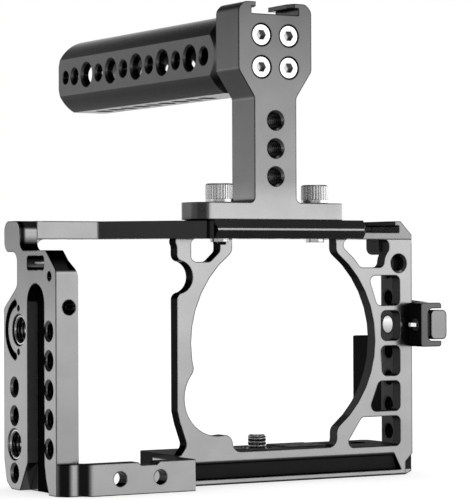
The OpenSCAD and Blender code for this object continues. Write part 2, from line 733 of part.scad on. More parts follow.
// Camera screw, held captive by its clip
screw_head_r = 6.8;
screw_head_play = 0.15;
screw_head_top_z = bottom_z + counterbore_depth - screw_head_play;
screw_head_h = 4.2;
screw_point = 0.6;
screw_slot_w = 1.8;
screw_slot_h = 1.6;
hex_r = 2.9;
hex_depth = 3;
clip_t = 0.8;
clip_r = 4.6;
clip_play = 0.2;
clip_z = base_z - clip_recess_depth + clip_play;
clip_opening = 3.2;
neck_cut = 0.45;
module camera_screw() color(steel) difference() {
    union() {
        translate([0, 0, screw_head_top_z - screw_head_h]) cylinder(r = screw_head_r, h = screw_head_h);
        translate([0, 0, screw_head_top_z - cut])
            cylinder(r = quarter_r, h = screw_stand - screw_point - screw_head_top_z + cut);
        translate([0, 0, screw_stand - screw_point])
            cylinder(r1 = quarter_r, r2 = quarter_r - screw_point, h = screw_point);
    }
    translate([0, 0, clip_z]) difference() {
        cylinder(r = screw_head_r, h = clip_t);
        translate([0, 0, -cut]) cylinder(r = quarter_r - neck_cut, h = clip_t + 2 * cut);
    }
    // Slot and hexagon in the head
    translate([-screw_head_r - cut, -screw_slot_w / 2, screw_head_top_z - screw_head_h - cut])
        cube([2 * screw_head_r + 2 * cut, screw_slot_w, screw_slot_h + cut]);
    translate([0, 0, screw_head_top_z - screw_head_h - cut])
        cylinder(r = hex_r, h = hex_depth + cut, $fn = 6);
}
module camera_screw_clip() color(steel)
    translate([0, 0, clip_z]) difference() {
        cylinder(r = clip_r, h = clip_t);
        translate([0, 0, -cut]) cylinder(r = quarter_r - neck_cut, h = clip_t + 2 * cut);
        translate([-clip_opening / 2, 0, -cut]) cube([clip_opening, clip_r + cut, clip_t + 2 * cut]);
    }

// Handle bracket
flange_shift = 0.6;
flange_x = post_x + flange_shift;
flange_z1 = top_z + flange_thick;
flange_soft = 5.2;
head_z1 = top_z + handle_h;
head_h = 23;
head_z0 = head_z1 - head_h;
flare_h = 9.2;
head_corner = 4.6;
post_soft = 3;
root_r = 1.8;
grip_drop = 16.6;
grip_z = head_z1 - grip_drop;
post_hole_drop = 26.6;
post_hole_z = head_z0 - post_hole_drop;
head_y1 = front_y + bracket_depth;
grip_cbore_gap = 0.35;
grip_cbore_r = grip_head_d / 2 + grip_cbore_gap;
grip_cbore_depth = 2.4;
grip_screw_r = 2;
module post_outline() soften(post_soft) polygon([
    [-post_w / 2, top_z - 3 * post_soft], [-post_w / 2, head_z0 - flare_h], [-head_w / 2, head_z0],
    [-head_w / 2, head_z1 - head_corner / 2], [head_corner / 2 - head_w / 2, head_z1],
    [head_w / 2 - head_corner / 2, head_z1], [head_w / 2, head_z1 - head_corner / 2],
    [head_w / 2, head_z0], [post_w / 2, head_z0 - flare_h], [post_w / 2, top_z - 3 * post_soft]]);
module handle_bracket() color(coat) difference() {
    union() {
        translate([-post_x, 0, 0]) front_slab(front_y, head_y1) intersection() {
            post_outline();
            block2([-head_w, flange_z1 - cut], [head_w, head_z1]);
        }
        plan_slab(top_z, flange_z1) round_out(flange_soft)
            block2([-flange_x - flange_len / 2, front_y], [-flange_x + flange_len / 2, head_y1]);
        // Fillets at the root of the post
        for (s = [-1, 1])
            translate([-post_x, 0, flange_z1]) mirror([s > 0 ? 1 : 0, 0, 0])
                front_slab(front_y, head_y1) difference() {
                    block2([post_w / 2 - cut, -cut], [post_w / 2 + root_r, root_r]);
                    translate([post_w / 2 + root_r, root_r]) circle(root_r);
                }
    }
    for (s = [-1, 1])
        translate([-screws_x + s * 2 * hole_pitch, handle_y, top_z - cut])
            cylinder(r = quarter_r + free_gap, h = flange_thick + 2 * cut);
    for (k = [-1 : 1])
        hole_y(front_y, head_y1, -post_x, post_hole_z + k * hole_pitch, tap_r);
    for (sx = [-1, 1], sz = [-1, 1])
        translate([-post_x + sx * grip_screw_pitch / 2, head_y1 + cut, grip_z + sz * grip_screw_pitch / 2])
            rotate([90, 0, 0]) {
                cylinder(r = grip_screw_r + seat_gap, h = bracket_depth + 2 * cut);
                translate([0, 0, bracket_depth + cut - grip_cbore_depth])
                    cylinder(r = grip_cbore_r, h = grip_cbore_depth + cut);
            }
    shoe_channel(-post_x, front_y, head_y1 + cut, head_z1);
}

// Hollow grip with rows of holes
grip_plug = 17;
grip_first_y = 11.4;
grip_rows = 11;
grip_cone_w = 4;
grip_cone_len = 7;
grip_end_bevel = 1;
grip_last_step = 7.5;
grip_last_rim = 0.3;
grip_last_hole_r = 2.45;
grip_tap_depth = 9;
bottom_hole_first = 2;
module handle_grip() color(coat) difference() {
    intersection() {
        translate([-post_x, head_y1 + grip_len, grip_z]) rotate([90, 0, 0])
            linear_extrude(grip_len) intersection() {
                circle(d = grip_d);
                translate([-grip_flats / 2, -grip_flats / 2]) square([grip_flats, grip_d]);
            }
        // Cone at the front end, bevel at the back end
        translate([-post_x, head_y1, grip_z]) rotate([-90, 0, 0]) rotate_extrude() polygon([
            [0, 0], [grip_d / 2 - grip_cone_w, 0], [grip_d / 2, grip_cone_len],
            [grip_d / 2, grip_len - grip_end_bevel], [grip_d / 2 - grip_end_bevel, grip_len],
            [0, grip_len]]);
    }
    translate([-post_x, head_y1 + grip_len + cut, grip_z]) rotate([90, 0, 0])
        cylinder(d = grip_bore_d, h = grip_len - grip_plug + cut);
    for (k = [0 : grip_rows - 1])
        hole_x(-post_x - grip_flats / 2, -post_x + grip_flats / 2, head_y1 + grip_first_y + k * grip_pitch,
               grip_z, k % 2 == 0 ? tap_r : big_tap_r);
    hole_x(-post_x - grip_flats / 2, -post_x + grip_flats / 2,
           head_y1 + grip_first_y + (grip_rows - 1) * grip_pitch + grip_last_step, grip_z,
           grip_last_hole_r, grip_last_rim);
    for (k = [bottom_hole_first : grip_rows - 1])
        hole_z(grip_z - grip_flats / 2, grip_z - grip_bore_d / 4, -post_x,
               head_y1 + grip_first_y + k * grip_pitch, tap_r);
    for (sx = [-1, 1], sz = [-1, 1])
        translate([-post_x + sx * grip_screw_pitch / 2, head_y1 - cut, grip_z + sz * grip_screw_pitch / 2])
            rotate([-90, 0, 0]) cylinder(r = grip_screw_r + seat_gap, h = grip_tap_depth + cut);
}

// Four cap screws through the bracket's head into the grip
grip_screw_bite = 8;
grip_head_h = 2.2;
grip_hex_r = 1.75;
grip_hex_depth = 1.7;
module grip_screws() color(steel)
    for (sx = [-1, 1], sz = [-1, 1])
        translate([-post_x + sx * grip_screw_pitch / 2, front_y + grip_cbore_depth,
                   grip_z + sz * grip_screw_pitch / 2]) rotate([-90, 0, 0]) difference() {
            union() {
                cylinder(r = grip_screw_r, h = bracket_depth - grip_cbore_depth + grip_screw_bite);
                translate([0, 0, -grip_head_h]) cylinder(r = grip_head_d / 2, h = grip_head_h);
            }
            translate([0, 0, -grip_head_h - cut]) cylinder(r = grip_hex_r, h = grip_hex_depth + cut, $fn = 6);
        }

// Knurled screws that hold the handle on the rail
handle_screw_tip = 1.2;
head_lift = 0.05;
head_bevel = 0.4;
head_collar = 1.2;
knurls = 30;
knurl_r = 0.35;
module handle_screw(s) color(steel)
    translate([-screws_x + s * 2 * hole_pitch, handle_y, flange_z1 + head_lift]) difference() {
        union() {
            cylinder(r = handle_head_d / 2, h = handle_head_h - head_bevel);
            translate([0, 0, handle_head_h - head_bevel])
                cylinder(r1 = handle_head_d / 2, r2 = handle_head_d / 2 - head_bevel, h = head_bevel);
            translate([0, 0, -(flange_thick + top_thick + handle_screw_tip)])
                cylinder(r = quarter_r, h = flange_thick + top_thick + handle_screw_tip + cut);
        }
        for (k = [0 : knurls - 1]) rotate([0, 0, k * 360 / knurls])
            translate([handle_head_d / 2 + knurl_r / 2, 0, head_collar])
                cylinder(r = knurl_r, h = handle_head_h, $fn = 6);
        translate([0, 0, handle_head_h - hex_depth]) cylinder(r = hex_r, h = hex_depth + cut, $fn = 6);
    }
module handle_screw_left() handle_screw(-1);
module handle_screw_right() handle_screw(1);

// Cable clamp
clamp_z = row_z(clamp_row);
clamp_x1 = right_x + clamp_w;
clamp_hook = 1.4;
clamp_lap = 3.6;
clamp_y1 = right_back_y + clamp_lap;
clamp_rise = 0.9;
clamp_floor = 1.6;
cavity_x = right_x + clamp_floor;
clamp_screw_in = 3.6;
clamp_screw_y = front_y + clamp_screw_in;
clamp_screw_r = 1.5;
clamp_head_r = 2.3;
clamp_head_t = 1.1;
tab_len = 4;
tab_t = 1.4;
tab_reach = 1.5;
jaw_h = clamp_h - 2 * clamp_wall - 1.1;
jaw_pad_t = 1;
jaw_x0 = cavity_x + jaw_gap + jaw_pad_t;
jaw_bite = 2.35;
jaw_cap = 0.8;
clamp_tip_x = jaw_x0 + jaw_travel + jaw_bite;
jaw_x1 = clamp_tip_x + run_gap + jaw_cap;
jaw_soft = 1.8;
mount_head_r = 4;
mount_head_h = 2.4;
mount_hex_r = 2.3;
clamp_clip_t = 0.6;
clamp_neck_cut = 0.3;
jaw_clear = 0.8;
jaw_y1 = right_col_y - mount_head_r - jaw_clear;
pad_edge = 1.2;
module clamp_body() color(coat) difference() {
    union() {
        front_slab(front_y, lens_y) round_out(clamp_wall / 2)
            block2([right_x - clamp_hook, clamp_z - clamp_h / 2], [clamp_x1, clamp_z + clamp_h / 2]);
        front_slab(lens_y, clamp_y1) polygon([
            [right_x, clamp_z - clamp_h / 2], [clamp_x1, clamp_z - clamp_h / 2],
            [clamp_x1, clamp_z + clamp_h / 2], [right_x, clamp_z + clamp_h / 2 + clamp_rise]]);
    }
    front_slab(front_y - cut, clamp_y1 + cut) round_out(clamp_wall)
        block2([cavity_x, clamp_z - clamp_h / 2 + clamp_wall],
               [clamp_x1 + 3 * clamp_wall, clamp_z + clamp_h / 2 - clamp_wall]);
    translate([right_x - clamp_hook - cut, clamp_screw_y, clamp_z]) rotate([90, 0, 90]) {
        cylinder(r = clamp_screw_r + run_gap, h = clamp_w);
        cylinder(r = clamp_head_r + free_gap, h = clamp_head_t + run_gap + cut);
    }
    translate([right_x - cut, right_col_y, clamp_z]) rotate([90, 0, 90])
        cylinder(r = quarter_r + seat_gap, h = clamp_floor + 2 * cut);
}
module clamp_mount_screw() color(steel)
    translate([right_in_x, right_col_y, clamp_z]) rotate([90, 0, 90]) difference() {
        union() {
            cylinder(r = quarter_r, h = cavity_x - right_in_x + cut);
            translate([0, 0, cavity_x - right_in_x]) cylinder(r = mount_head_r, h = mount_head_h);
        }
        translate([0, 0, cavity_x - right_in_x + mount_head_h / 3])
            cylinder(r = mount_hex_r, h = mount_head_h, $fn = 6);
    }
module clamp_screw() color(steel)
    translate([right_x - clamp_hook, clamp_screw_y, clamp_z]) rotate([90, 0, 90]) difference() {
        union() {
            cylinder(r = clamp_head_r, h = clamp_head_t);
            cylinder(r = clamp_screw_r, h = clamp_tip_x - right_x + clamp_hook);
            translate([-tab_len / 2, -tab_t / 2, -tab_reach]) cube([tab_len, tab_t, tab_reach + cut]);
        }
        translate([0, 0, clamp_floor + clamp_hook + run_gap]) difference() {
            cylinder(r = clamp_head_r, h = clamp_clip_t);
            translate([0, 0, -cut]) cylinder(r = clamp_screw_r - clamp_neck_cut, h = clamp_clip_t + 2 * cut);
        }
    }
module clamp_screw_clip() color(steel)
    translate([cavity_x + run_gap, clamp_screw_y, clamp_z]) rotate([90, 0, 90]) difference() {
        cylinder(r = clamp_head_r, h = clamp_clip_t);
        translate([0, 0, -cut]) cylinder(r = clamp_screw_r - clamp_neck_cut, h = clamp_clip_t + 2 * cut);
    }
module clamp_jaw() color(coat) difference() {
    front_slab(front_y, jaw_y1) soften(jaw_soft)
        block2([jaw_x0, clamp_z - jaw_h / 2], [jaw_x1, clamp_z + jaw_h / 2]);
    translate([jaw_x0 - cut, clamp_screw_y, clamp_z]) rotate([90, 0, 90])
        cylinder(r = clamp_screw_r + run_gap, h = clamp_tip_x + run_gap - jaw_x0 + cut);
}
module clamp_jaw_pad() color(rubber) difference() {
    front_slab(front_y + pad_edge / 2, jaw_y1 - pad_edge / 2)
        block2([jaw_x0 - jaw_pad_t, clamp_z - jaw_h / 2 + pad_edge],
               [jaw_x0, clamp_z + jaw_h / 2 - pad_edge]);
    translate([jaw_x0 - jaw_pad_t - cut, clamp_screw_y, clamp_z]) rotate([90, 0, 90])
        cylinder(r = clamp_head_r + free_gap, h = jaw_pad_t + 2 * cut);
}

side_plate_left();
grip_bar();
base_plate();
lens_plate();
top_plate();
side_plate_right();
locating_insert();
lower_insert();
strap_pin();
seat_pad_left();
seat_pad_right();
camera_screw();
camera_screw_clip();
handle_bracket();
handle_grip();
grip_screws();
handle_screw_left();
handle_screw_right();
clamp_body();
clamp_mount_screw();
clamp_screw();
clamp_screw_clip();
clamp_jaw();
clamp_jaw_pad();
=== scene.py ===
"""Looks of a camera cage with a top handle and a cable clamp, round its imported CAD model."""

import json
import math

import bpy
from mathutils import Matrix, Vector


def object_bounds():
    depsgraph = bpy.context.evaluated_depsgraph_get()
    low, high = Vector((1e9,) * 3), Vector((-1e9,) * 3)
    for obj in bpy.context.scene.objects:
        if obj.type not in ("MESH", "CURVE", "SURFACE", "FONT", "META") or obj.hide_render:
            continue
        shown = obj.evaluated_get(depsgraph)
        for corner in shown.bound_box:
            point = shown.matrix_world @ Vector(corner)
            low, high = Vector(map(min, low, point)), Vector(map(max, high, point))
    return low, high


MM = 0.001
X, Y, Z = range(3)

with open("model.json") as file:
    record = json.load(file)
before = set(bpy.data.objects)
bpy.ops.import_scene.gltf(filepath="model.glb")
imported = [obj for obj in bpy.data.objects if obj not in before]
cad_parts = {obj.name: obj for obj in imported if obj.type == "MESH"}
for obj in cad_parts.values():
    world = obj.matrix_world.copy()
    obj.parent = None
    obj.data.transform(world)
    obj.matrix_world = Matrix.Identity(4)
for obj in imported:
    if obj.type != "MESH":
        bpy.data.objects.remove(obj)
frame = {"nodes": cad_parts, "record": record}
cad_low, cad_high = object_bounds()
nodes = frame["nodes"]


# Camera of the photograph: its place in the row frame, and how it is turned
CAMERA_AT_MM = (-433.28, -717.87, 62.37)
YAW_DEG = 30.667
PITCH_DEG = -0.439
ROLL_DEG = -0.226
FOCAL_PX = 2390.07
LONG_SIDE_PX = 500
SENSOR_MM = 36
CLIP_M = (0.05, 20)


def add_camera():
    a, b, r = (math.radians(v) for v in (YAW_DEG, PITCH_DEG, ROLL_DEG))
    turn = Matrix(((math.cos(a), -math.sin(a), 0), (0, 0, -1), (math.sin(a), math.cos(a), 0)))
    tilt = Matrix(((1, 0, 0), (0, math.cos(b), -math.sin(b)), (0, math.sin(b), math.cos(b))))
    roll = Matrix(((math.cos(r), -math.sin(r), 0), (math.sin(r), math.cos(r), 0), (0, 0, 1)))
    right, down, ahead = roll @ tilt @ turn
    data = bpy.data.cameras.new("camera")
    data.sensor_width = SENSOR_MM
    data.lens = SENSOR_MM * FOCAL_PX / LONG_SIDE_PX
    data.clip_start, data.clip_end = CLIP_M
    camera = bpy.data.objects.new("camera", data)
    bpy.context.scene.collection.objects.link(camera)
    place = Matrix((right, -down, -ahead)).transposed().to_4x4()
    place.translation = Vector(CAMERA_AT_MM) * MM
    camera.matrix_world = place
    bpy.context.scene.camera = camera


# Node trees
def add(tree, kind, inputs=None, **settings):
    """A new node, with its settings, and with values or other nodes' sockets on its inputs."""
    made = tree.nodes.new(kind)
    for key, value in settings.items():
        setattr(made, key, value)
    for key, value in (inputs or {}).items():
        if isinstance(value, bpy.types.NodeSocket):
            tree.links.new(value, made.inputs[key])
        else:
            made.inputs[key].default_value = value
    return made


def ramp(tree, factor, stops):
    """A colour ramp of grey values at the places in stops."""
    made = add(tree, "ShaderNodeValToRGB", {0: factor})
    points = made.color_ramp.elements
    while len(points) < len(stops):
        points.new(0.5)
    for point, (place, value) in zip(points, stops):
        point.position = place
        point.color = (value, value, value, 1)
    return made.outputs[0]


def math_node(tree, operation, first, second=0.0):
    return add(tree, "ShaderNodeMath", {0: first, 1: second}, operation=operation).outputs[0]


def inside(tree, value, low, high):
    """1 where a value lies between two bounds, else 0."""
    return add(tree, "ShaderNodeMath", {0: value, 1: (low + high) / 2, 2: (high - low) / 2},
               operation="COMPARE").outputs[0]


def nearly_inside(tree, value, low, high, soft):
    """1 where a value lies between two bounds, fading to 0 over a soft width across each bound."""
    off = math_node(tree, "ABSOLUTE", math_node(tree, "SUBTRACT", value, (low + high) / 2))
    half = (high - low) / 2
    return add(tree, "ShaderNodeMapRange", {
        "Value": off, "From Min": half - soft, "From Max": half + soft, "To Min": 1.0, "To Max": 0.0},
        interpolation_type="SMOOTHSTEP").outputs[0]


def times(tree, factors):
    product = factors[0]
    for factor in factors[1:]:
        product = math_node(tree, "MULTIPLY", product, factor)
    return product


def less(tree, shade, mask, share):
    """A shade, less the share that a mask takes."""
    lost = math_node(tree, "MULTIPLY", mask, share)
    return math_node(tree, "MULTIPLY", shade, math_node(tree, "SUBTRACT", 1.0, lost))


def spread(tree, value, low, high, from_value, to_value):
    """A value between two bounds mapped to another span, and held there beyond them."""
    return add(tree, "ShaderNodeMapRange", {
        "Value": value, "From Min": low, "From Max": high,
        "To Min": from_value, "To Max": to_value}).outputs[0]


def thread_wave(tree, along):
    """-1 to 1, once each thread."""
    return math_node(tree, "SINE", math_node(tree, "MULTIPLY", along, 2 * math.pi / (THREAD_MM * MM)))


def bore_mask(tree, at, bore):
    """Walls of a row of threaded holes: 1 on them, else 0, and the place along their axis."""
    axis, centre, radius, pitch, count, ends = bore[:6]
    first, second = [k for k in range(3) if k != axis]
    across = math_node(tree, "SUBTRACT", at[first], centre[0] * MM)
    along = math_node(tree, "SUBTRACT", at[second], centre[1] * MM)
    reach = pitch * (count - 1) + radius + BORE_SLACK_MM
    masks = [inside(tree, along, -(radius + BORE_SLACK_MM) * MM, reach * MM)]
    if count > 1:
        along = add(tree, "ShaderNodeMath", {0: along, 1: pitch * MM / 2, 2: -pitch * MM / 2},
                    operation="WRAP").outputs[0]
    flat = add(tree, "ShaderNodeCombineXYZ", {0: across, 1: along})
    far = add(tree, "ShaderNodeVectorMath", {0: flat.outputs[0]}, operation="LENGTH").outputs["Value"]
    masks += [inside(tree, far, 0, (radius + WALL_SLACK_MM) * MM),
              inside(tree, at[axis], ends[0] * MM, ends[1] * MM)]
    return times(tree, masks), at[axis]


# Grain, clouds and roughness of every surface
NOISE_SPAN = (0.3, 0.7)
CLOUD_SCALE = 90.0
CLOUD = 0.06
GRAIN_SHARE = 0.1
GRAIN_STRENGTH = 0.2

# A painted-shade rule's mask fades over these widths, of a place and of a normal; a rule darker than
# MATT_BELOW also takes the metal's shine away, so that its painted shade stays matt
PLACE_SOFT_MM = 0.05
NORMAL_SOFT = 0.12
MATT_BELOW = 0.2

# Painted shade: an edge gets a blackened line where the rounded normal leaves the flat one
LINE_COSINES = (0.86, 0.975)
LINE_TONE = 0.12
LINE_REACH = 2
# No painted edge line where the frame's members meet face to face: (axis, place) and half width
SEAMS = [(Z, 72.4), (X, -84.2), (X, -42.5), (Y, -14.55)]
SEAM_MM = 1.3
SEAM_SOFT_MM = 0.1

# Threads of a quarter inch screw, in painted shade: tone left in a bore by the wave, and on a screw
THREAD_MM = 1.27
BORE_SLACK_MM = 0.1
WALL_SLACK_MM = 0.06
BORE_TONES = (0.04, 0.7)
BORE_WAVE = (0.2, 1.0)
ROOT_WAVE = (-0.7, 0.2)
ROOT_TONE = 0.02
THREAD_DEPTH_MM = 0.25


def surface(name, tone, metallic, roughness, grain_mm, grain_depth, edge_mm, tint=(1, 1, 1),
            dark=(), bores=(), thread=None, fade=(), edge_line=LINE_TONE, seams=()):
    """A blasted or turned surface with fine grain, faint clouds and softened edges, and with painted
    shade, painted reflections and painted light laid into its colour.

    dark: painted shade and painted reflections, as rules (factor, {axis: (low, high)} of the place
    in mm, {axis: (low, high)} of the normal, and at times the width in mm over which the place fades).
    bores: rows of threaded holes (axis, centre, radius, pitch, count, ends, and at times tones), whose
    walls get painted shade striped by the thread.
    fade: painted light and shade by height, as (z in mm, factor) from low to high.
    thread: (low, high) in mm of an outside thread along Z, with painted shade in its roots."""
    material = bpy.data.materials.new(name)
    material.use_nodes = True
    tree = material.node_tree
    shader = tree.nodes["Principled BSDF"]
    place = add(tree, "ShaderNodeTexCoord").outputs["Object"]
    at = add(tree, "ShaderNodeSeparateXYZ", {0: place}).outputs
    normal = add(tree, "ShaderNodeNewGeometry").outputs["Normal"]
    facing = add(tree, "ShaderNodeSeparateXYZ", {0: normal}).outputs
    grain = add(tree, "ShaderNodeTexNoise", {"Vector": place, "Scale": 1 / (grain_mm * MM), "Detail": 3.0})
    clouds = add(tree, "ShaderNodeTexNoise", {"Vector": place, "Scale": CLOUD_SCALE, "Detail": 4.0})
    shade = spread(tree, clouds.outputs[0], *NOISE_SPAN, tone * (1 - CLOUD), tone * (1 + CLOUD))
    # Painted light and shade by height: the colour scaled along Z
    if fade:
        low, high = fade[0][0], fade[-1][0]
        share = math_node(tree, "DIVIDE", math_node(tree, "SUBTRACT", at[Z], low * MM), (high - low) * MM)
        share = ramp(tree, share, [((z - low) / (high - low), factor) for z, factor in fade])
        shade = math_node(tree, "MULTIPLY", shade, share)
    metal = None
    # Painted shade and painted reflections: each rule darkens the colour where its place and normal masks
    # meet
    for factor, where, turn, *soft in dark:
        width = soft[0] if soft else PLACE_SOFT_MM
        masks = [nearly_inside(tree, at[k], low * MM, high * MM, width * MM)
                 for k, (low, high) in where.items()]
        masks += [nearly_inside(tree, facing[k], low, high, NORMAL_SOFT)
                  for k, (low, high) in turn.items()]
        mask = times(tree, masks)
        shade = less(tree, shade, mask, 1 - factor)
        if factor < MATT_BELOW:
            kept = math_node(tree, "SUBTRACT", 1.0, mask)
            metal = kept if metal is None else math_node(tree, "MULTIPLY", metal, kept)
    # Painted shade on the walls of threaded holes, striped by the thread
    for bore in bores:
        mask, along = bore_mask(tree, at, bore)
        tones = bore[6] if len(bore) > 6 else BORE_TONES
        left = spread(tree, thread_wave(tree, along), *BORE_WAVE, *tones)
        shade = less(tree, shade, mask, math_node(tree, "SUBTRACT", 1.0, left))
    edge = add(tree, "ShaderNodeBevel", {"Radius": edge_mm * MM}, samples=6)
    # Painted shade line along edges, where a wide bevel's normal turns from the flat one
    wide = add(tree, "ShaderNodeBevel", {"Radius": LINE_REACH * edge_mm * MM}, samples=8)
    turned = add(tree, "ShaderNodeVectorMath", {0: wide.outputs[0], 1: normal}, operation="DOT_PRODUCT")
    line = spread(tree, turned.outputs["Value"], *LINE_COSINES, edge_line, 1.0)
    for axis, at_mm in seams:
        near = nearly_inside(tree, at[axis], (at_mm - SEAM_MM) * MM, (at_mm + SEAM_MM) * MM,
                             SEAM_SOFT_MM * MM)
        line = add(tree, "ShaderNodeMapRange", {"Value": near, "To Min": line, "To Max": 1.0}).outputs[0]
    shade = math_node(tree, "MULTIPLY", shade, line)
    # Painted shade in the roots of the outside thread
    if thread:
        wave = math_node(tree, "MULTIPLY", thread_wave(tree, at[Z]),
                         inside(tree, at[Z], thread[0] * MM, thread[1] * MM))
        shade = math_node(tree, "MULTIPLY", shade, spread(tree, wave, *ROOT_WAVE, ROOT_TONE, 1.0))
    colour = add(tree, "ShaderNodeCombineColor")
    for channel in range(3):
        scaled = math_node(tree, "MULTIPLY", shade, tint[channel])
        tree.links.new(scaled, colour.inputs[channel])
    tree.links.new(colour.outputs[0], shader.inputs["Base Color"])
    rough = spread(tree, grain.outputs[0], *NOISE_SPAN,
                   roughness * (1 - GRAIN_SHARE), roughness * (1 + GRAIN_SHARE))
    tree.links.new(rough, shader.inputs["Roughness"])
    bump = add(tree, "ShaderNodeBump", {
        "Strength": GRAIN_STRENGTH, "Distance": grain_depth * MM, "Height": grain.outputs[0],
        "Normal": edge.outputs[0]})
    if thread:
        bump = add(tree, "ShaderNodeBump", {
            "Strength": 1.0, "Distance": THREAD_DEPTH_MM * MM, "Height": wave, "Normal": bump.outputs[0]})
    tree.links.new(bump.outputs[0], shader.inputs["Normal"])
    shader.inputs["Metallic"].default_value = metallic
    if metal is not None:
        tree.links.new(metal, shader.inputs["Metallic"])
        shader.inputs["Specular IOR Level"].default_value = 0.0
    return material


def coat(name, tone, roughness=0.2, edge_mm=0.5, **more):
    return surface(name, tone, 1.0, roughness, 0.12, 0.003, edge_mm, seams=SEAMS, **more)


def steel(name, tone, roughness=0.2, edge_mm=0.1, metallic=1.0, grain_depth=0.002, **more):
    return surface(name, tone, metallic, roughness, 0.08, grain_depth, edge_mm, **more)


# Rows of threaded holes, whose walls get painted shade striped by the thread
ROW_MM = 9.525
HOLE_R = 2.6
LARGE_HOLE_R = 4.0
LEFT_ENDS = (-91, -84)
LEFT_ROWS = [(X, (-21.5, 4.1), HOLE_R, ROW_MM, 5, LEFT_ENDS),
             (X, (4.4, -5.425), HOLE_R, ROW_MM, 1, LEFT_ENDS),
             (X, (4.4, 13.625), HOLE_R, ROW_MM, 2, LEFT_ENDS)]
RIGHT_ROW = [(X, (-10.7, 4.1), HOLE_R, ROW_MM, 7, (48.3, 52.9))]
POST_ROW = [(Y, (-8.2, 93.475), HOLE_R, ROW_MM, 3, (-26.6, -11))]
FRONT_HOLE = [(Y, (47.4, 63.9), HOLE_R, ROW_MM, 1, (-19, -14))]
GRIP_ROW = [(X, (9.6, 136), 4.1, 19.8, 5, (-30, 30)), (X, (-0.3, 136), 2.7, 19.8, 6, (-30, 30))]
GROOVE_MM = (-18.5, -5.5)

# Ways that a face can look, as bounds of its normal, for the rules of painted shade
LEFTWARD = {X: (-1.1, -0.35)}
STRAIGHT_LEFT = {X: (-1.1, -0.6)}
FORWARD = {Y: (-1.1, -0.2)}
UPWARD = {Z: (0.6, 1.1)}
# The frame's parts share one black anodising; the multiples of TONE for the lens plate, the right plate
# and the bar are painted light, lighter copies of it for parts that show brighter under the light
TONE = 0.25

# Painted shade and painted reflections of each part: its rules darken hollows, grooves, inner walls and
# faces turned left, up or down, to the shade and dim reflections they show under the light
LEFT_COAT = coat("anodised_left", TONE, bores=LEFT_ROWS, dark=[
    (0.015, {X: (-91.3, -87), Y: GROOVE_MM, Z: (-30, 60.5)}, {}),
    (0.04, {X: (-91.3, -83), Y: GROOVE_MM, Z: (61.8, 67)}, {X: (-0.9, 0.9)}),
    (0.04, {Z: (64, 72)}, FORWARD, 2.0),
    (0.04, {X: (-91.4, -89.6), Z: (66, 80)}, FORWARD, 0.6),
    (0.06, {}, {Z: (0.3, 1.1)}), (0.03, {X: (-91.4, -89.8), Y: (2, 11.6), Z: (31.5, 53)}, {}),
    (0.03, {X: (-86.6, -84.4), Y: (-26.4, -10)}, {X: (-0.95, 0.95)})])
LENS_COAT = coat("anodised_lens", 1.2 * TONE, bores=FRONT_HOLE, dark=[
    (0.16, {X: (10, 60)}, LEFTWARD), (0.04, {X: (-60, 10)}, LEFTWARD),
    (0.05, {X: (-60, 10)}, {Z: (0.2, 1.1)}),
    (0.05, {X: (10, 60)}, {Z: (0.75, 1.1)}), (0.09, {Y: (-18.95, -15.9), Z: (-9.1, -2.9)}, {}),
    (0.3, {}, {Z: (-1.1, -0.5)})])
TOP_COAT = coat("anodised_top", TONE, dark=[
    (0.18, {X: (-100, 47)}, LEFTWARD), (0.14, {}, {Z: (-0.95, -0.3)}), (0.3, {}, UPWARD),
    (0.12, {X: (-36.5, -32.3)}, {}), (0.8, {X: (28, 56)}, {Y: (-1.1, -0.6)})])
RIGHT_COAT = coat("anodised_right", 1.8 * TONE, bores=RIGHT_ROW, dark=[
    (0.19, {Y: (-30, -6.5)}, STRAIGHT_LEFT), (0.004, {Y: (-6.5, 60)}, STRAIGHT_LEFT),
    (0.05, {}, {X: (-0.6, 0.6)})])
BASE_COAT = coat("anodised_base", TONE, dark=[(0.19, {}, UPWARD), (0.1, {}, LEFTWARD)])
# Painted shade in the bar's two holes, near black
BAR_HOLES = [(Y, (x, -5.7), 2.3, ROW_MM, 1, (-34, -27.5), (0.03, 0.08)) for x in (-71.7, -56.85)]
BAR_COAT = coat("anodised_bar", 1.2 * TONE, bores=BAR_HOLES, dark=[
    (0.05, {}, UPWARD), (0.04, {X: (-85.6, -82.3)}, {Y: (-1.1, -0.3)}, 0.7),
    (0.03, {X: (-91.6, -88)}, {}, 1.0)])
# The handle's painted light and shade: lighter low down, darker towards its top, and painted shade on the
# left end of its flange
HANDLE_COAT = coat("anodised_handle", 0.21, roughness=0.22, bores=POST_ROW,
                   fade=[(78, 1.45), (86, 1.3), (92, 0.92), (112, 0.8), (152, 0.43)],
                   dark=[(0.2, {X: (-39, -34.8), Z: (78, 84.7)}, {}, 0.9)])
GRIP_COAT = coat("anodised_grip", 0.115, roughness=0.26, bores=GRIP_ROW, dark=[
    (0.4, {}, {Z: (0.4, 1.1)}), (0.5, {}, {Z: (-1.1, -0.5)})])
CLAMP_COAT = coat("anodised_clamp", 0.09, edge_mm=0.5, dark=[(0.05, {}, LEFTWARD)])
JAW_COAT = coat("anodised_jaw", 0.2, edge_mm=0.6, dark=[(0.05, {}, LEFTWARD)])
STEEL_TINT = (1, 1, 1.01)
STEEL = steel("steel", 0.80, edge_mm=0.15, tint=STEEL_TINT)
# Painted shade in the roots of the camera screw's thread
SCREW_STEEL = steel("steel_thread", 0.85, metallic=0.9, tint=STEEL_TINT, thread=(-6, 3.6), edge_line=1.0)
# Painted shade on the socket walls of the grip screws
SOCKETS = [(Y, (x, 130.55), 2.2, 10.9, 2, (-40, -20), (0.5, 0.75)) for x in (-13.65, -2.75)]
SOCKET_STEEL = steel("steel_socket", 0.80, roughness=0.25, edge_mm=0.15, tint=STEEL_TINT, bores=SOCKETS)
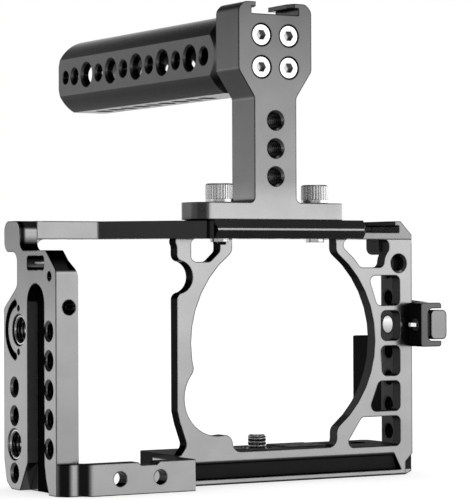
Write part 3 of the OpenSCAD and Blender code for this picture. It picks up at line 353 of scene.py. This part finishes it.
# Painted shade in the inserts' threaded bores
INSERT_STEEL = steel("steel_insert", 0.5, tint=STEEL_TINT, bores=[
    (X, (0.7, 42.2), LARGE_HOLE_R, ROW_MM, 1, LEFT_ENDS),
    (X, (4.4, 4.1), LARGE_HOLE_R, ROW_MM, 1, LEFT_ENDS)])
HEAD_STEEL = steel("steel_head", 0.62, roughness=0.25, edge_mm=0.3, grain_depth=0.004)
# Painted shading of a dome on the screw's end: bright near its top, darker at its rim and below
MOUNT_STEEL = steel("steel_painted_dome_shading", 0.85, edge_mm=0.3,
                    fade=[(38.9, 0.3), (41.6, 0.6), (43.8, 1.0), (45.5, 0.45)])
# Painted shade on the tab's far part
TAB_STEEL = steel("steel_tab", 0.8, dark=[(0.05, {X: (51.5, 70)}, {})])
PIN_STEEL = steel("steel_pin", 0.9, roughness=0.3, metallic=0.3, edge_line=1.0)
RUBBER = surface("rubber", 0.02, 0.0, 0.6, 0.20, 0.03, 0.2)

SLOT_MATERIALS = {"steel": STEEL, "rubber": RUBBER}
NODE_MATERIALS = {
    "side_plate_left": LEFT_COAT, "grip_bar": BAR_COAT, "base_plate": BASE_COAT, "lens_plate": LENS_COAT,
    "top_plate": TOP_COAT, "side_plate_right": RIGHT_COAT, "handle_bracket": HANDLE_COAT,
    "handle_grip": GRIP_COAT, "clamp_body": CLAMP_COAT, "clamp_jaw": JAW_COAT,
    "handle_screw_left": HEAD_STEEL, "handle_screw_right": HEAD_STEEL, "grip_screws": SOCKET_STEEL,
    "clamp_mount_screw": MOUNT_STEEL, "clamp_screw": TAB_STEEL, "camera_screw": SCREW_STEEL,
    "strap_pin": PIN_STEEL, "locating_insert": INSERT_STEEL, "lower_insert": INSERT_STEEL}


def dress_nodes():
    slots = {s["node"]: s["material_slot"] for s in frame["record"]["subparts"]}
    for name, thing in nodes.items():
        material = NODE_MATERIALS.get(name) or SLOT_MATERIALS[slots[name]]
        thing.data.materials.clear()
        thing.data.materials.append(material)


# Studio: what the metal reflects, by direction round the object and by height
AROUND = [(-180, 0.35), (-150, 0.6), (-62, 1.0), (-22, 1.0), (-14, 0.14), (76, 0.14),
          (88, 0.45), (100, 0.45), (110, 0.3), (150, 0.36), (180, 0.35)]
METAL_LIGHT = 2.2
UP = [(-1.0, 0.02), (-0.42, 0.05), (-0.22, 1.0), (0.25, 1.0), (0.5, 0.06), (0.85, 0.06), (1.0, 0.5)]
DIFFUSE_LIGHT = 0.9


def add_world():
    world = bpy.data.worlds.new("studio")
    bpy.context.scene.world = world
    world.use_nodes = True
    tree = world.node_tree
    ray = add(tree, "ShaderNodeTexCoord").outputs["Generated"]
    split = add(tree, "ShaderNodeSeparateXYZ", {0: ray})
    x = math_node(tree, "MULTIPLY", split.outputs["X"], -1)
    y = math_node(tree, "MULTIPLY", split.outputs["Y"], -1)
    turn = math_node(tree, "ARCTAN2", x, y)
    turn = math_node(tree, "ADD", math_node(tree, "DIVIDE", turn, 2 * math.pi), 0.5)
    rise = math_node(tree, "ADD", math_node(tree, "MULTIPLY", split.outputs["Z"], 0.5), 0.5)
    around = ramp(tree, turn, [(deg / 360 + 0.5, value) for deg, value in AROUND])
    up = ramp(tree, rise, [(height / 2 + 0.5, value) for height, value in UP])
    level = math_node(tree, "MULTIPLY", math_node(tree, "MULTIPLY", around, up), METAL_LIGHT)
    path = add(tree, "ShaderNodeLightPath").outputs
    diffuse = path["Is Diffuse Ray"]
    level = add(tree, "ShaderNodeMix", {0: diffuse, 2: level, 3: DIFFUSE_LIGHT}).outputs[0]
    clear = math_node(tree, "MAXIMUM", path["Is Camera Ray"], path["Is Transmission Ray"])
    level = add(tree, "ShaderNodeMix", {0: clear, 2: level, 3: 1.0}).outputs[0]
    back = tree.nodes["Background"]
    tree.links.new(level, back.inputs["Color"])
    back.inputs["Strength"].default_value = 1.0


# Floor: half its size, its gap under the part, its own grey and lift for the camera,
# and what it gives to other rays by how slantwise they meet it
FLOOR_M = 3.0
FLOOR_GAP_MM = 0.05
FLOOR_GREY = (0.6, 0.6, 0.6, 1)
FLOOR_LIFT = 0.56
FLOOR_GLOW = [(0.0, 0.15), (0.6, 0.35), (0.78, 0.5), (0.93, 1.4), (1.0, 1.8)]


def add_floor():
    bpy.ops.mesh.primitive_plane_add(size=2 * FLOOR_M, location=(0, 0, cad_low.z - FLOOR_GAP_MM * MM))
    floor = bpy.context.object
    floor.name = "floor"
    material = bpy.data.materials.new("floor")
    material.use_nodes = True
    tree = material.node_tree
    tree.nodes.remove(tree.nodes["Principled BSDF"])
    seen = add(tree, "ShaderNodeAddShader", {
        0: add(tree, "ShaderNodeBsdfDiffuse", {"Color": FLOOR_GREY}).outputs[0],
        1: add(tree, "ShaderNodeEmission", {"Color": (1, 1, 1, 1), "Strength": FLOOR_LIFT}).outputs[0]})
    slant = add(tree, "ShaderNodeLayerWeight", {"Blend": 0.5}).outputs["Facing"]
    glow = ramp(tree, slant, FLOOR_GLOW)
    lit = add(tree, "ShaderNodeEmission", {"Color": glow, "Strength": 1.0})
    camera_ray = add(tree, "ShaderNodeLightPath").outputs["Is Camera Ray"]
    front = add(tree, "ShaderNodeMixShader", {0: camera_ray, 1: lit.outputs[0], 2: seen.outputs[0]})
    below = add(tree, "ShaderNodeNewGeometry").outputs["Backfacing"]
    clear = add(tree, "ShaderNodeBsdfTransparent")
    whole = add(tree, "ShaderNodeMixShader", {0: below, 1: front.outputs[0], 2: clear.outputs[0]})
    tree.links.new(whole.outputs[0], tree.nodes["Material Output"].inputs["Surface"])
    floor.data.materials.append(material)


add_camera()
dress_nodes()
add_world()
add_floor()
bpy.context.scene.view_settings.view_transform = "Standard"
